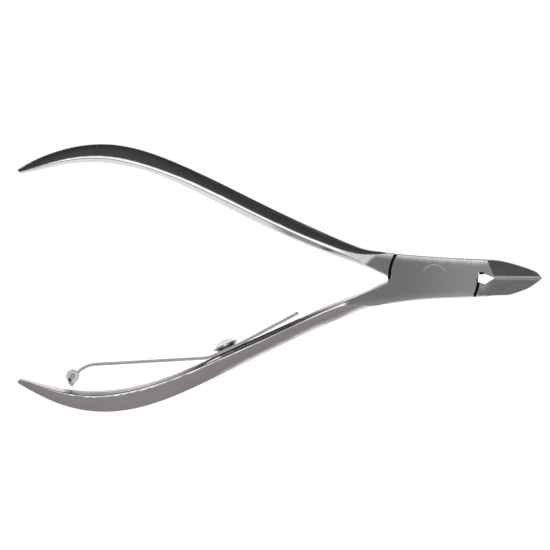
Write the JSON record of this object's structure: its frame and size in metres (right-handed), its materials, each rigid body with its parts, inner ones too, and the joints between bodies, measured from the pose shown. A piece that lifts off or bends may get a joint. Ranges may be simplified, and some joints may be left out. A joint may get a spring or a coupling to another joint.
{
  "type": "cuticle nipper",
  "caption": "Lap-joint cuticle nipper with bowed handles, short hollow-ground jaws and a roller leaf spring parked beside its handle.",
  "frame": {"origin": "on the pivot axis, at the flush back face of the joint, on which the tool lies", "axes": "+Z along the pivot axis out of the joint's front face, +X towards the jaws"},
  "size_m": [0.105, 0.0538, 0.006],
  "materials": {
    "lever_steel": "satin handles, cross-brushed joint faces",
    "rivet_steel": "ground flush with the joint",
    "spring_steel": "rolled strip, satin",
    "screw_steel": "bright, turned",
    "roller_steel": "turned"
  },
  "bodies": {
    "back_lever": {"back_lever": "lever_steel"},
    "front_lever": {"front_lever": "lever_steel", "pivot_rivet": "rivet_steel", "spring_screw": "screw_steel", "spring_washer": "screw_steel"},
    "spring": {"spring_leaf": "spring_steel", "roller_axle": "roller_steel"},
    "roller": {"roller": "roller_steel"}
  },
  "joints": [
    {"name": "jaw_pivot", "type": "hinge", "parent": "back_lever", "child": "front_lever", "pos_m": [0, 0, 0], "axis": [0, 0, 1], "range_deg": [0, 28]},
    {"name": "spring_swing", "type": "hinge", "parent": "front_lever", "child": "spring", "pos_m": [-0.04116, -0.01474, 0.003], "axis": [-0.4139, 0.9103, 0], "range_deg": [0, 165]},
    {"name": "roller_spin", "type": "hinge", "parent": "spring", "child": "roller", "pos_m": [-0.07222, -0.01977, 0.003], "axis": [0, 0, 1], "continuous": true}
  ]
}
